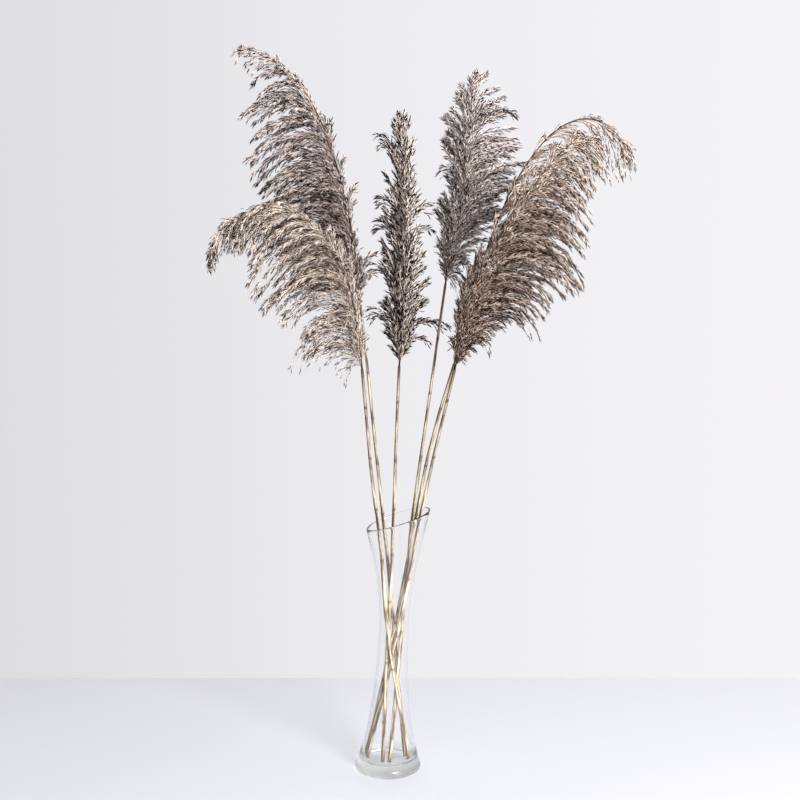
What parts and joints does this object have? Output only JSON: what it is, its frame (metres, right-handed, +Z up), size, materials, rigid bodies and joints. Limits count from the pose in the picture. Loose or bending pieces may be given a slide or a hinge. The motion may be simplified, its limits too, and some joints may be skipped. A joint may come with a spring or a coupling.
{
  "type": "dried pampas grass in a glass vase",
  "caption": "Nodding dried grass plumes on tall noded stems, standing in a clear glass vase with a narrow waist, a thick base and a slanted rim.",
  "frame": {"origin": "centre of the vase's flat foot, on the surface that it stands on", "axes": "+Z up, +X to the right as the picture shows it, +Y away from the picture's camera"},
  "size_m": [0.6252, 0.267, 1.0876],
  "materials": {
    "clear_glass": "clear, polished",
    "straw_stem": "dry, satin, lengthwise grain",
    "plume_taupe": "silky dry hair with dark spikelets",
    "plume_grey": "silky dry hair with dark spikelets",
    "plume_tan": "silky dry hair with dark spikelets"
  },
  "bodies": {
    "root": {"glass_vase": "clear_glass", "stem_tall_left": "straw_stem", "plume_tall_left": "plume_taupe", "stem_low_left": "straw_stem", "plume_low_left": "plume_taupe", "stem_centre": "straw_stem", "plume_centre": "plume_grey", "stem_middle_right": "straw_stem", "plume_middle_right": "plume_grey", "stem_front_right": "straw_stem", "plume_front_right": "plume_tan", "stem_back_right": "straw_stem", "plume_back_right": "plume_tan"}
  },
  "joints": []
}
